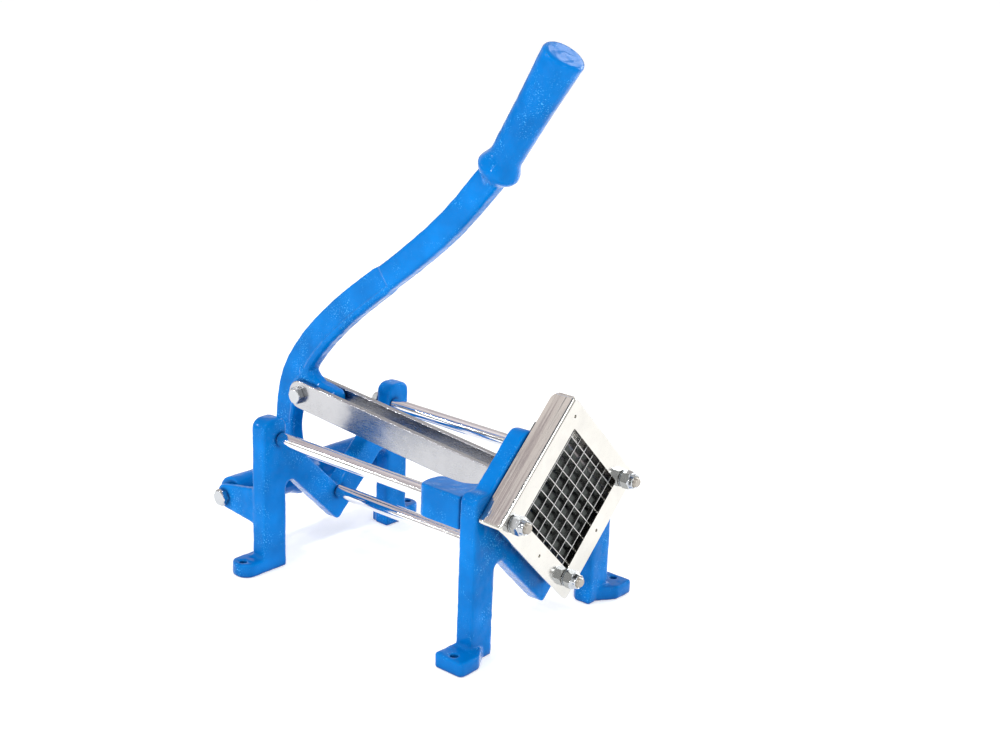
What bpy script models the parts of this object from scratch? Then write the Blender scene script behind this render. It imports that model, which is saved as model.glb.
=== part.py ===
"""A lever-arm french fry cutter for a counter top, at rest with its pusher fully forward.

Lengths are metres and +Z is up. Pieces are placed in the cutter's own coordinates: x runs from the rear
casting's front face towards the blades, y from the middle to the far side, and z up from the table.
One empty carries all of them and puts the whole object's bottom centre on the world's origin.
"""

import math

import bmesh
import bpy
from mathutils import Matrix, Vector

# Fits
FIT_GAP = 0.0003
OVERRUN = 0.004
JOIN_DEPTH = 0.0015

# The grid of blades, its window and the rods, which place everything in the castings
DIAMOND_TURN = math.radians(45)
BLADE_COUNT = 7
BLADE_PITCH = 0.012
BLADE_FRAME_MARGIN = 0.0053
WINDOW_MARGIN = 0.0004
GRID_HALF = BLADE_PITCH * (BLADE_COUNT - 1) / 2
BLADE_FRAME_OPENING = GRID_HALF + BLADE_FRAME_MARGIN
WINDOW_Z = 0.117
WINDOW_REACH = (BLADE_FRAME_OPENING + WINDOW_MARGIN) / math.sin(DIAMOND_TURN)
ROD_PAST_WINDOW = 0.0085
BOTTOM_ROD_PAST_WINDOW = 0.0055
ROD_REACH = WINDOW_REACH + ROD_PAST_WINDOW
BOTTOM_ROD_REACH = WINDOW_REACH + BOTTOM_ROD_PAST_WINDOW
ROD_RADIUS = 0.006
ROD_CHAMFER = 0.0008
STUD_RADIUS = 0.004
STUD_CHAMFER = 0.0008
FRAME_SPAN = 0.2168

# Castings
CASTING_THICKNESS = 0.0165
CASTING_EDGE = 0.002
LEG_PAST_WINDOW = 0.002
LEG_WIDTH = 0.025
LEG_INNER = WINDOW_REACH + LEG_PAST_WINDOW
LEG_OUTER = LEG_INNER + LEG_WIDTH
LEG_TOP_RISE = 0.019
LEG_TOP = WINDOW_Z + LEG_TOP_RISE
LEG_TOP_ROUND = 0.009
REAR_V_WIDTH = 0.0335
FRONT_V_WIDTH = 0.035
V_FOOT_ROUND = 0.003
V_INSIDE_ROUND = 0.003
LEG_FILLET = 0.006
HORN_WIDTH = 0.029
HORN_REACH = WINDOW_REACH + HORN_WIDTH
HORN_TIP = 0.0198
HORN_FILLET = 0.007

# Feet
PAD_THICKNESS = 0.0125
PAD_PAST_LEG = 0.021
PAD_OUTER = LEG_OUTER + PAD_PAST_LEG
PAD_EDGE = 0.0015
PAD_FILLET = 0.005
PAD_HOLE_RADIUS = 0.003
PAD_HOLE_INSET = 0.0075
PAD_HOLE_Y = PAD_OUTER - PAD_HOLE_INSET
REAR_PAD_DEPTH = 0.024
REAR_PAD_ROUND = 0.0105
FRONT_PAD_BEHIND = 0.0024
FRONT_PAD_AHEAD = 0.0098
FRONT_PAD_ROUND = 0.003
FRONT_PAD_TAPER_START = 0.009
FRONT_PAD_TAPER_PAST = 0.0005

# Ears and the lever's pivot
PIVOT_BEHIND = 0.053
PIVOT_Z = 0.0555
EAR_THICKNESS = 0.008
EAR_ROOT_ABOVE = 0.0175
EAR_ROOT_BELOW = 0.0145
EAR_END_RADIUS = 0.0095
EAR_EDGE = 0.0015

# Lever
HUB_RADIUS = 0.0155
HUB_FLARE_RADIUS = 0.019
HUB_FLARE_LENGTH = 0.014
HUB_END_EDGE = 0.0012
ARM_THICKNESS = 0.0152
ARM_EDGE = 0.0035
ARM_ROOT_WIDTH = 0.024
ARM_PANEL_START_WIDTH = 0.029
ARM_PANEL_END_WIDTH = 0.0255
ARM_NECK_WIDTH = 0.023
ARM_RUN = 0.223
ARM_RISE = 0.3045
ARM_PATH_SHARES = (
    (0.000, 0.000),
    (-0.048, 0.095),
    (-0.051, 0.180),
    (-0.008, 0.295),
    (0.103, 0.415),
    (0.300, 0.551),
    (0.583, 0.708),
    (0.800, 0.842),
    (1.000, 1.000),
)
ARM_ROOT_END_SHARE = 0.13
PANEL_START_SHARE = 0.22
PANEL_END_SHARE = 0.60
PANEL_STEP_SHARE = 0.02
PANEL_ROOT_SHARE = 0.12
PANEL_RIDGE_OFFSET = 0.0073
PANEL_DEPTH = 0.0018
CRANK_RISE = 0.0793
CRANK_LEAN = 0.015
CRANK_BOSS_RADIUS = 0.016
CRANK_BOSS_PROUD = 0.0004
CRANK_WEB_SHARES = (
    (0.000, 0.000),
    (-0.150, 0.310),
    (0.050, 0.328),
    (0.120, 0.233),
    (0.227, 0.171),
    (0.353, 0.154),
    (0.498, 0.126),
    (0.523, 0.013),
    (0.378, -0.082),
    (0.177, -0.101),
)
CRANK_WEB_ROUND = 0.005
COLLAR_RADIUS = 0.0178
COLLAR_LENGTH = 0.0275
GRIP_LENGTH = 0.094
GRIP_START_RADIUS = 0.0134
GRIP_MIDDLE_RADIUS = 0.0149
GRIP_END_RADIUS = 0.01725
GRIP_END_ROUND = 0.003
GRIP_PITCH = math.radians(57.3)

# Links
LINK_WIDTH = 0.025
LINK_THICKNESS = 0.005
LINK_EDGE = 0.0006
LINK_BELOW_WINDOW = 0.003
PIN_HEAD_RADIUS = 0.0068
PIN_HEAD_HEIGHT = 0.0026

# Pusher carriage
CARRIAGE_STOP_GAP = 0.001
CARRIAGE_LENGTH = 0.0443
CARRIAGE_BOSS_INSIDE = 0.010
CARRIAGE_BOSS_OUTSIDE = 0.0165
CARRIAGE_BOSS_ABOVE = 0.014
CARRIAGE_BOSS_BELOW = 0.013
CARRIAGE_BOSS_ROUND = 0.008
CARRIAGE_FRONT_ROUND = 0.003
CARRIAGE_PLATE_THICKNESS = 0.0088
CARRIAGE_WEB_FILLET = 0.015
CARRIAGE_EDGE = 0.0015
CARRIAGE_SKIRT_CLEARANCE = 0.007
CARRIAGE_HUMP_RISE = 0.030
CARRIAGE_HUMP_HALF = 0.02
CARRIAGE_HUMP_FLANK = 0.013
CARRIAGE_HUMP_ROUND = 0.008
LUG_THICKNESS = 0.0154
LUG_RADIUS = 0.0115
LUG_FLARE = 0.004
LUG_EDGE = 0.0015
PIN_BEHIND_PLATE = 0.014

# Pusher head
HEAD_MARGIN = 0.002
HEAD_HALF_SIDE = GRID_HALF + HEAD_MARGIN
HEAD_BASE_THICKNESS = 0.005
FINGER_SIDE = 0.010
FINGER_DRAFT = 0.0003
FINGER_CHAMFER = 0.0008
FINGER_ENTRY = 0.0015
HEAD_SCREW_RADIUS = 0.0025
HEAD_SCREW_DEPTH = 0.014
SCREW_HEAD_RADIUS = 0.0046
SCREW_HEAD_HEIGHT = 0.0034

# Blades, their frame and the plate that holds them
BLADE_THICKNESS = 0.0006
BLADE_DEPTH = 0.0115
BLADE_BACK_GAP = 0.0002
BLADE_GROUND_DEPTH = 0.0016
BLADE_SEAT = 0.0077
BLADE_FRAME_WALL = 0.0127
BLADE_FRAME_DEPTH = 0.0187
BLADE_FRAME_EDGE = 0.001
PLATE_OVERHANG = 0.0003
PLATE_MARGIN = 0.0181
PLATE_OPENING = BLADE_FRAME_OPENING - PLATE_OVERHANG
PLATE_HALF_SIDE = BLADE_FRAME_OPENING + PLATE_MARGIN
PLATE_SHEET = 0.0022
PLATE_FLANGE_DEPTH = 0.0206
PLATE_FLANGE_ROUND = 0.0095
PLATE_BEND = 0.0024
PLATE_TOP_ROUND = 0.0035
PLATE_CORNER_ROUND = 0.003
PLATE_OPENING_ROUND = 0.001
PLATE_HOLE_RADIUS = 0.0014

# Nuts and bolts, all M8
HEX_FLATS = 0.013
NUT_HEIGHT = 0.0065
NUT_CHAMFER = 0.0008
NUT_BASE_RADIUS = 0.0072
NUT_BASE_HEIGHT = 0.0008
LOCK_NUT_HEX_HEIGHT = 0.008
NUT_COLLAR_RADIUS = 0.0058
NUT_COLLAR_HEIGHT = 0.0035
BOLT_HEAD_HEIGHT = 0.0055
STUD_PAST_NUT = 0.0023

ROUND_STEPS = 24
ROD_STEPS = 16
HEX_STEPS = 12
ARC_ERROR = 0.00018
STRAIGHT_ANGLE = math.radians(172)
LONGEST_STEP = math.radians(45)
SHARP_ANGLE = math.radians(35)

# Places that follow from the sizes above
CENTRE = Vector((0, 0, WINDOW_Z))
FRONT_BACK_X = FRAME_SPAN
FRONT_FACE_X = FRAME_SPAN + CASTING_THICKNESS
STUD_HOLE_RADIUS = STUD_RADIUS + FIT_GAP
PIVOT = Vector((-PIVOT_BEHIND, 0, PIVOT_Z))
CRANK = PIVOT + Vector((CRANK_LEAN, 0, CRANK_RISE))
COLLAR = PIVOT + Vector((ARM_RUN, 0, ARM_RISE))
EAR_OUTER = LEG_OUTER - FIT_GAP
HUB_END = LEG_OUTER - EAR_THICKNESS - FIT_GAP
ARM_FACE = ARM_THICKNESS / 2
BOSS_FACE = ARM_FACE + CRANK_BOSS_PROUD
LINK_INNER = BOSS_FACE + FIT_GAP
LINK_OUTER = LINK_INNER + LINK_THICKNESS
CARRIAGE_FRONT_X = FRONT_BACK_X - CARRIAGE_STOP_GAP
CARRIAGE_PLATE_X = CARRIAGE_FRONT_X - CARRIAGE_PLATE_THICKNESS
CARRIAGE_BOSS_INNER = ROD_REACH - CARRIAGE_BOSS_INSIDE
CARRIAGE_BOSS_OUTER = ROD_REACH + CARRIAGE_BOSS_OUTSIDE
CARRIAGE_BOSS_TOP = WINDOW_Z + CARRIAGE_BOSS_ABOVE
CARRIAGE_BOSS_BOTTOM = WINDOW_Z - CARRIAGE_BOSS_BELOW
LINK_FRONT = Vector((CARRIAGE_PLATE_X - PIN_BEHIND_PLATE, 0, WINDOW_Z - LINK_BELOW_WINDOW))
HEAD_BACK_X = CARRIAGE_FRONT_X + FIT_GAP
FRAME_BACK_X = FRONT_FACE_X + FIT_GAP
FRAME_FRONT_X = FRAME_BACK_X + BLADE_FRAME_DEPTH
BLADE_FRONT_X = FRAME_FRONT_X - BLADE_BACK_GAP
BLADE_BACK_X = BLADE_FRONT_X - BLADE_DEPTH
BLADE_HALF_LENGTH = BLADE_FRAME_OPENING + BLADE_SEAT
FINGER_TIP_X = BLADE_BACK_X + FINGER_ENTRY
FINGER_COUNT = BLADE_COUNT - 1
PLATE_BACK_X = FRAME_FRONT_X + FIT_GAP
PLATE_FRONT_X = PLATE_BACK_X + PLATE_SHEET
FRONT_NUT_X = PLATE_FRONT_X + FIT_GAP
FRONT_NUT_HEIGHT = NUT_BASE_HEIGHT + LOCK_NUT_HEX_HEIGHT + NUT_COLLAR_HEIGHT
REAR_NUT_X = -CASTING_THICKNESS - FIT_GAP
STUD_CORNER = ROD_REACH * math.sin(DIAMOND_TURN)
BOTTOM_STUD_CORNER = BOTTOM_ROD_REACH * math.sin(DIAMOND_TURN)
ROD_PLACES = {
    "near": (-ROD_REACH, WINDOW_Z),
    "far": (ROD_REACH, WINDOW_Z),
    "bottom": (0, WINDOW_Z - BOTTOM_ROD_REACH),
}


def clear_scene():
    for old in list(bpy.data.objects):
        bpy.data.objects.remove(old)


def material(name, color, roughness, metallic):
    made = bpy.data.materials.new(name)
    made.use_nodes = True
    shader = made.node_tree.nodes["Principled BSDF"]
    shader.inputs["Base Color"].default_value = (*color, 1)
    shader.inputs["Roughness"].default_value = roughness
    shader.inputs["Metallic"].default_value = metallic
    made.diffuse_color = (*color, 1)
    return made


def make_materials():
    return {
        "blue_enamel": material("blue_enamel", (0.003, 0.17, 0.78), 0.25, 0.0),
        "chrome": material("chrome", (0.80, 0.80, 0.82), 0.08, 1.0),
        "stainless": material("stainless", (0.72, 0.71, 0.69), 0.20, 1.0),
        "zinc": material("zinc", (0.68, 0.70, 0.74), 0.32, 1.0),
        "grey_head": material("grey_head", (0.055, 0.06, 0.062), 0.45, 0.0),
    }


# Outlines, as lists of 2D points


def rounded(corners):
    """The outline through (a, b, radius) corners, each turned by an arc as large as its sides allow."""
    points = []
    for i, (a, b, radius) in enumerate(corners):
        here = Vector((a, b))
        back = Vector(corners[i - 1][:2]) - here
        ahead = Vector(corners[(i + 1) % len(corners)][:2]) - here
        opening = back.angle(ahead)
        if radius == 0 or opening > STRAIGHT_ANGLE:
            points.append(here)
            continue
        reach = min(radius / math.tan(opening / 2), back.length / 2, ahead.length / 2)
        radius = reach * math.tan(opening / 2)
        middle = (back.normalized() + ahead.normalized()).normalized()
        centre = here + middle * radius / math.sin(opening / 2)
        start = here + back.normalized() * reach - centre
        turn = start.angle_signed(here + ahead.normalized() * reach - centre)
        steps = math.ceil(abs(turn) / arc_step(radius))
        for step in range(steps + 1):
            points.append(centre + Matrix.Rotation(-turn * step / steps, 2) @ start)
    return without_repeats(points)


def arc_step(radius):
    """The turn between two points of an arc, at which its chords lie within the arc's error."""
    return 2 * math.acos(max(1 - ARC_ERROR / radius, math.cos(LONGEST_STEP / 2)))


def without_repeats(points):
    least = FIT_GAP / 10
    return [p for i, p in enumerate(points) if (p - points[i - 1]).length > least]


def mirrored(half):
    """A whole outline from the corners at y >= 0, which start and end on the middle."""
    return half + [(-y, z, radius) for y, z, radius in reversed(half) if y > 0]


def box_outline(low_a, high_a, low_b, high_b, radius=0.0):
    return rounded(
        [
            (low_a, low_b, radius),
            (high_a, low_b, radius),
            (high_a, high_b, radius),
            (low_a, high_b, radius),
        ]
    )


def smooth_path(points, steps):
    """A Catmull-Rom curve through the points, with this many steps between each two."""
    ends = [points[0] * 2 - points[1], *points, points[-1] * 2 - points[-2]]
    path = []
    for a, b, c, d in zip(ends, ends[1:], ends[2:], ends[3:]):
        for step in range(steps):
            t = step / steps
            straight = b * 2 + (c - a) * t
            bend = (a * 2 - b * 5 + c * 4 - d) * t**2
            twist = (b * 3 - a - c * 3 + d) * t**3
            path.append((straight + bend + twist) / 2)
    return [*path, points[-1]]


# Solids


def new_object(name, bm, paint=None):
    bmesh.ops.recalc_face_normals(bm, faces=bm.faces)
    mesh = bpy.data.meshes.new(name)
    bm.to_mesh(mesh)
    bm.free()
    if paint:
        mesh.materials.append(paint)
    made = bpy.data.objects.new(name, mesh)
    bpy.context.scene.collection.objects.link(made)
    return made


def point_on(axis, along, a, b):
    return Vector({"X": (along, a, b), "Y": (a, along, b), "Z": (a, b, along)}[axis])


def prism(name, outline, axis, low, high, edge=0.0, paint=None, edge_steps=2):
    """An outline run straight along an axis, with the rims of both ends rounded by the edge."""
    bm = bmesh.new()
    face = bm.faces.new([bm.verts.new(point_on(axis, low, *point)) for point in outline])
    run = bmesh.ops.extrude_face_region(bm, geom=[face], use_keep_orig=True)
    far_end = [part for part in run["geom"] if isinstance(part, bmesh.types.BMVert)]
    bmesh.ops.translate(bm, verts=far_end, vec=point_on(axis, high - low, 0, 0))
    if edge:
        bm.normal_update()
        rims = [rim for rim in bm.edges if len(rim.link_faces) == 2 and is_rim(rim, axis, low, high)]
        bmesh.ops.bevel(
            bm, geom=rims, offset=edge, segments=edge_steps, profile=0.5, affect="EDGES", clamp_overlap=False
        )
    return new_object(name, bm, paint)


def is_rim(edge, axis, low, high):
    place = "XYZ".index(axis)
    a, b = (vert.co[place] for vert in edge.verts)
    flat = abs(a - b) < FIT_GAP / 10
    return flat and (abs(a - low) < FIT_GAP / 10 or abs(a - high) < FIT_GAP / 10)


def round_section(radius):
    return lambda angle: radius


def hex_section(flats):
    """A hexagon's reach at each angle, with corners every sixth of a turn from zero."""
    sixth = math.radians(60)
    return lambda angle: flats / 2 / math.cos(angle % sixth - sixth / 2)


def turned(name, profile, start, direction, steps=ROUND_STEPS, paint=None, closed=False):
    """Rings of (section, distance along the direction), joined in order."""
    turn = Vector(direction).to_track_quat("Z", "Y").to_matrix()
    rings = []
    for section, along in profile:
        ring = []
        for step in range(steps):
            angle = math.tau * step / steps
            reach = section(angle)
            local = Vector((reach * math.cos(angle), reach * math.sin(angle), along))
            ring.append(start + turn @ local)
        rings.append(ring)
    return skinned(name, rings, paint, closed)


def skinned(name, rings, paint=None, closed=False):
    """A skin over rings of as many points each, capped at both ends or closed on itself."""
    bm = bmesh.new()
    loops = [[bm.verts.new(point) for point in ring] for ring in rings]
    pairs = list(zip(loops, loops[1:]))
    if closed:
        pairs.append((loops[-1], loops[0]))
    for loop, beyond in pairs:
        for i in range(len(loop)):
            bm.faces.new((loop[i - 1], loop[i], beyond[i], beyond[i - 1]))
    if not closed:
        bm.faces.new(loops[0])
        bm.faces.new(loops[-1])
    return new_object(name, bm, paint)


def rod(name, radius, start, end, chamfer=0.0, steps=ROUND_STEPS, paint=None):
    """A round bar between two points, with its ends chamfered."""
    run = Vector(end) - Vector(start)
    profile = [(round_section(radius), 0), (round_section(radius), run.length)]
    if chamfer:
        tip = round_section(radius - chamfer)
        profile = [
            (tip, 0),
            (round_section(radius), chamfer),
            (round_section(radius), run.length - chamfer),
            (tip, run.length),
        ]
    return turned(name, profile, Vector(start), run, steps, paint)


def through(radius, place, axis, low, high, steps=HEX_STEPS):
    """A cutter for a round hole from low to high along an axis, run past both."""
    start = point_on(axis, low - OVERRUN, *place)
    end = point_on(axis, high + OVERRUN, *place)
    return rod("hole", radius, start, end, steps=steps)


def combine(piece, operation, tools):
    """Joins the tools to the piece or cuts them from it, and removes them."""
    for tool in tools:
        boolean = piece.modifiers.new(operation.lower(), "BOOLEAN")
        boolean.operation = operation
        boolean.solver = "EXACT"
        boolean.object = tool
        tool.hide_render = True
    bpy.context.view_layer.update()
    graph = bpy.context.evaluated_depsgraph_get()
    before = piece.data
    piece.data = bpy.data.meshes.new_from_object(piece.evaluated_get(graph))
    piece.modifiers.clear()
    bpy.data.meshes.remove(before)
    for tool in tools:
        bpy.data.objects.remove(tool)


def join(piece, *tools):
    combine(piece, "UNION", tools)


def cut(piece, *tools):
    combine(piece, "DIFFERENCE", tools)


def turn_to_diamond(*pieces):
    """Stands what was made square on its corner, about the window's middle."""
    about = Matrix.Translation(CENTRE) @ Matrix.Rotation(DIAMOND_TURN, 4, "X")
    for piece in pieces:
        piece.data.transform(about)


# Castings


def casting_half(v_reach, top):
    """Corners of a casting's front view at y >= 0, from the V's foot out round the leg to the V's inside.

    The leg ends just above the table, so that only the foot pads touch it.
    """
    return [
        (0, WINDOW_Z - v_reach, V_FOOT_ROUND),
        (LEG_INNER, WINDOW_Z - v_reach + LEG_INNER, LEG_FILLET),
        (LEG_INNER, FIT_GAP, 0),
        (LEG_OUTER + PAD_FILLET, FIT_GAP, 0),
        (LEG_OUTER + PAD_FILLET, PAD_THICKNESS - FIT_GAP, 0),
        (LEG_OUTER, PAD_THICKNESS - FIT_GAP, PAD_FILLET),
        *top,
        (0, WINDOW_Z - WINDOW_REACH, V_INSIDE_ROUND),
    ]


def leg_tops():
    return [
        (LEG_OUTER, LEG_TOP, LEG_TOP_ROUND),
        (LEG_INNER, LEG_TOP, LEG_TOP_ROUND),
        (LEG_INNER, WINDOW_Z - WINDOW_REACH + LEG_INNER, V_INSIDE_ROUND),
    ]


def horns():
    """The front casting's horns, which carry the window's sides on above the legs to round ends."""
    half_end = (HORN_REACH - WINDOW_REACH) / 4
    end_round = (HORN_REACH - WINDOW_REACH) * math.sin(DIAMOND_TURN) / 2
    outer_y = HORN_TIP + half_end
    inner_y = HORN_TIP - half_end
    return [
        (LEG_OUTER, LEG_TOP, LEG_TOP_ROUND),
        (HORN_REACH - LEG_TOP + WINDOW_Z, LEG_TOP, HORN_FILLET),
        (outer_y, WINDOW_Z + HORN_REACH - outer_y, end_round),
        (inner_y, WINDOW_Z + WINDOW_REACH - inner_y, end_round),
        (WINDOW_REACH, WINDOW_Z, 0),
    ]


def casting(name, x_back, v_width, top, paint):
    x_front = x_back + CASTING_THICKNESS
    outline = rounded(mirrored(casting_half(WINDOW_REACH + v_width, top)))
    return prism(name, outline, "X", x_back, x_front, CASTING_EDGE, paint)


def add_pads(piece, outline, hole_x):
    """Joins a foot pad to each leg, with its screw hole."""
    holes = []
    for side in (-1, 1):
        plan = [Vector((x, y * side)) for x, y in outline]
        join(piece, prism("pad", plan, "Z", 0, PAD_THICKNESS, PAD_EDGE))
        holes.append(through(PAD_HOLE_RADIUS, (hole_x, side * PAD_HOLE_Y), "Z", 0, PAD_THICKNESS))
    cut(piece, *holes)


def stud_holes(x_back, x_front):
    return [through(STUD_HOLE_RADIUS, place, "X", x_back, x_front) for place in ROD_PLACES.values()]


def rear_frame(paint):
    piece = casting("rear_frame", -CASTING_THICKNESS, REAR_V_WIDTH, leg_tops(), paint)
    pad = rounded(
        [
            (-FIT_GAP, LEG_INNER + CASTING_EDGE, 0),
            (-FIT_GAP, PAD_OUTER, REAR_PAD_ROUND),
            (-REAR_PAD_DEPTH, PAD_OUTER, REAR_PAD_ROUND),
            (-REAR_PAD_DEPTH, LEG_INNER + CASTING_EDGE, PAD_FILLET),
        ]
    )
    add_pads(piece, pad, -REAR_PAD_DEPTH / 2)
    root_x = -CASTING_THICKNESS + JOIN_DEPTH
    end_x = PIVOT.x - EAR_END_RADIUS
    ear = rounded(
        [
            (root_x, PIVOT_Z + EAR_ROOT_ABOVE, 0),
            (root_x, PIVOT_Z - EAR_ROOT_BELOW, 0),
            (end_x, PIVOT_Z - EAR_END_RADIUS, EAR_END_RADIUS),
            (end_x, PIVOT_Z + EAR_END_RADIUS, EAR_END_RADIUS),
        ]
    )
    for side in (-1, 1):
        low, high = sorted((side * (LEG_OUTER - EAR_THICKNESS), side * EAR_OUTER))
        join(piece, prism("ear", ear, "Y", low, high, EAR_EDGE))
    pivot_hole = through(STUD_HOLE_RADIUS, (PIVOT.x, PIVOT.z), "Y", -LEG_OUTER, LEG_OUTER)
    cut(piece, pivot_hole, *stud_holes(-CASTING_THICKNESS, 0))
    return piece


def front_frame(paint):
    piece = casting("front_frame", FRONT_BACK_X, FRONT_V_WIDTH, horns(), paint)
    ahead_x = FRONT_FACE_X + FRONT_PAD_AHEAD
    behind_x = FRONT_BACK_X - FRONT_PAD_BEHIND
    pad = rounded(
        [
            (FRONT_FACE_X - OVERRUN, LEG_INNER + CASTING_EDGE, 0),
            (FRONT_FACE_X - JOIN_DEPTH, LEG_INNER + FRONT_PAD_TAPER_START, PAD_FILLET),
            (ahead_x, LEG_OUTER + FRONT_PAD_TAPER_PAST, PAD_FILLET),
            (ahead_x, PAD_OUTER, FRONT_PAD_ROUND),
            (behind_x, PAD_OUTER, FRONT_PAD_ROUND),
            (behind_x, LEG_INNER + CASTING_EDGE, 0),
        ]
    )
    add_pads(piece, pad, (ahead_x + behind_x) / 2)
    cut(piece, *stud_holes(FRONT_BACK_X, FRONT_FACE_X))
    return piece


# Guide rods and nuts


def guide_rod(which, paint):
    """A rod that shoulders on both castings, with a threaded stud at each end."""
    y, z = ROD_PLACES[which]
    back = REAR_NUT_X - NUT_HEIGHT - STUD_PAST_NUT
    front = FRONT_NUT_X + FRONT_NUT_HEIGHT + STUD_PAST_NUT
    bar, shoulder = round_section(ROD_RADIUS), round_section(ROD_RADIUS - ROD_CHAMFER)
    stud, tip = round_section(STUD_RADIUS), round_section(STUD_RADIUS - STUD_CHAMFER)
    profile = [
        (tip, 0),
        (stud, STUD_CHAMFER),
        (stud, FIT_GAP - back),
        (shoulder, FIT_GAP - back),
        (bar, FIT_GAP + ROD_CHAMFER - back),
        (bar, FRAME_SPAN - FIT_GAP - ROD_CHAMFER - back),
        (shoulder, FRAME_SPAN - FIT_GAP - back),
        (stud, FRAME_SPAN - FIT_GAP - back),
        (stud, front - STUD_CHAMFER - back),
        (tip, front - back),
    ]
    return turned(f"guide_rod_{which}", profile, Vector((back, y, z)), (1, 0, 0), ROD_STEPS, paint)


def hex_nut(name, place, direction, paint):
    """A plain hexagon nut, its corners chamfered on both faces."""
    body, face = hex_section(HEX_FLATS), round_section(HEX_FLATS / 2)
    bore = round_section(STUD_HOLE_RADIUS)
    profile = [
        (bore, 0),
        (face, 0),
        (body, NUT_CHAMFER),
        (body, NUT_HEIGHT - NUT_CHAMFER),
        (face, NUT_HEIGHT),
        (bore, NUT_HEIGHT),
    ]
    return turned(name, profile, place, direction, HEX_STEPS, paint, closed=True)


def lock_nut(name, place, direction, paint):
    """A lock nut: round base, tall hexagon, and the round collar that holds its insert."""
    body, face = hex_section(HEX_FLATS), round_section(HEX_FLATS / 2)
    base, collar = round_section(NUT_BASE_RADIUS), round_section(NUT_COLLAR_RADIUS)
    bore = round_section(STUD_HOLE_RADIUS)
    hex_end = NUT_BASE_HEIGHT + LOCK_NUT_HEX_HEIGHT
    profile = [
        (bore, 0),
        (base, 0),
        (base, NUT_BASE_HEIGHT),
        (body, NUT_BASE_HEIGHT + NUT_CHAMFER),
        (body, hex_end - NUT_CHAMFER),
        (face, hex_end),
        (collar, hex_end),
        (collar, FRONT_NUT_HEIGHT - NUT_CHAMFER),
        (bore, FRONT_NUT_HEIGHT),
    ]
    return turned(name, profile, place, direction, HEX_STEPS, paint, closed=True)


def hex_bolt(name, place, direction, length, paint):
    """A hexagon bolt: the place is under its head, and its shank runs along the direction."""
    body, face = hex_section(HEX_FLATS), round_section(HEX_FLATS / 2)
    shank, tip = round_section(STUD_RADIUS), round_section(STUD_RADIUS - STUD_CHAMFER)
    profile = [
        (face, -BOLT_HEAD_HEIGHT),
        (body, NUT_CHAMFER - BOLT_HEAD_HEIGHT),
        (body, 0),
        (shank, 0),
        (shank, length - STUD_CHAMFER),
        (tip, length),
    ]
    return turned(name, profile, place, direction, HEX_STEPS, paint)


def crosswise_bolt(name, axis_place, grip, paint):
    """A bolt and nut across the cutter, clamping what lies within the grip on either side of the middle."""
    reach = grip + FIT_GAP
    head = axis_place + Vector((0, -reach, 0))
    nut = axis_place + Vector((0, reach, 0))
    length = reach * 2 + NUT_HEIGHT + STUD_PAST_NUT
    return [
        hex_bolt(f"{name}_bolt", head, (0, 1, 0), length, paint),
        hex_nut(f"{name}_nut", nut, (0, 1, 0), paint),
    ]


# Lever


def arm_path():
    points = [PIVOT + Vector((run * ARM_RUN, 0, rise * ARM_RISE)) for run, rise in ARM_PATH_SHARES]
    return smooth_path(points, 3)


def arm_width(share):
    """The arm widens to its panel, narrows along it, steps in at its end, and then keeps its width."""
    widths = (
        (0, ARM_ROOT_WIDTH),
        (ARM_ROOT_END_SHARE, ARM_ROOT_WIDTH),
        (PANEL_START_SHARE, ARM_PANEL_START_WIDTH),
        (PANEL_END_SHARE, ARM_PANEL_END_WIDTH),
        (PANEL_END_SHARE + PANEL_STEP_SHARE, ARM_NECK_WIDTH),
        (1, ARM_NECK_WIDTH),
    )
    for (start, before), (end, after) in zip(widths, widths[1:]):
        if share <= end:
            return before + (after - before) * (share - start) / (end - start)
    return ARM_NECK_WIDTH


def arm_half_width(share):
    return arm_width(share) / 2


def arm_outline(path, start_share, end_share, upper_reach, lower_reach):
    """The side view of a stretch of the arm, reaching this far from its path at each share of it."""
    lengths = [0.0]
    for a, b in zip(path, path[1:]):
        lengths.append(lengths[-1] + (b - a).length)
    shares = [length / lengths[-1] for length in lengths]
    steps = (*shares, PANEL_END_SHARE, PANEL_END_SHARE + PANEL_STEP_SHARE)
    stops = [share for share in steps if start_share < share < end_share]
    stops = sorted({start_share, *stops, end_share})
    upper, lower = [], []
    for share in stops:
        i = min(max(sum(s <= share for s in shares), 1), len(path) - 1)
        along = (share - shares[i - 1]) / (shares[i] - shares[i - 1])
        here = path[i - 1].lerp(path[i], along)
        heading = (path[min(i + 1, len(path) - 1)] - path[max(i - 2, 0)]).normalized()
        side = Vector((-heading.z, 0, heading.x))
        upper.append((here + side * upper_reach(share)).xz)
        lower.append((here - side * lower_reach(share)).xz)
    return upper + lower[::-1]


def hub_profile():
    """Half of the hub's barrel, from its end to the flare that meets the arm."""
    profile = [
        (HUB_RADIUS - HUB_END_EDGE, HUB_END),
        (HUB_RADIUS, HUB_END - HUB_END_EDGE),
    ]
    for step in range(5):
        t = step / 4
        reach = ARM_FACE - JOIN_DEPTH + HUB_FLARE_LENGTH * (1 - t)
        profile.append((HUB_RADIUS + (HUB_FLARE_RADIUS - HUB_RADIUS) * t**2, reach))
    return profile


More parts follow.
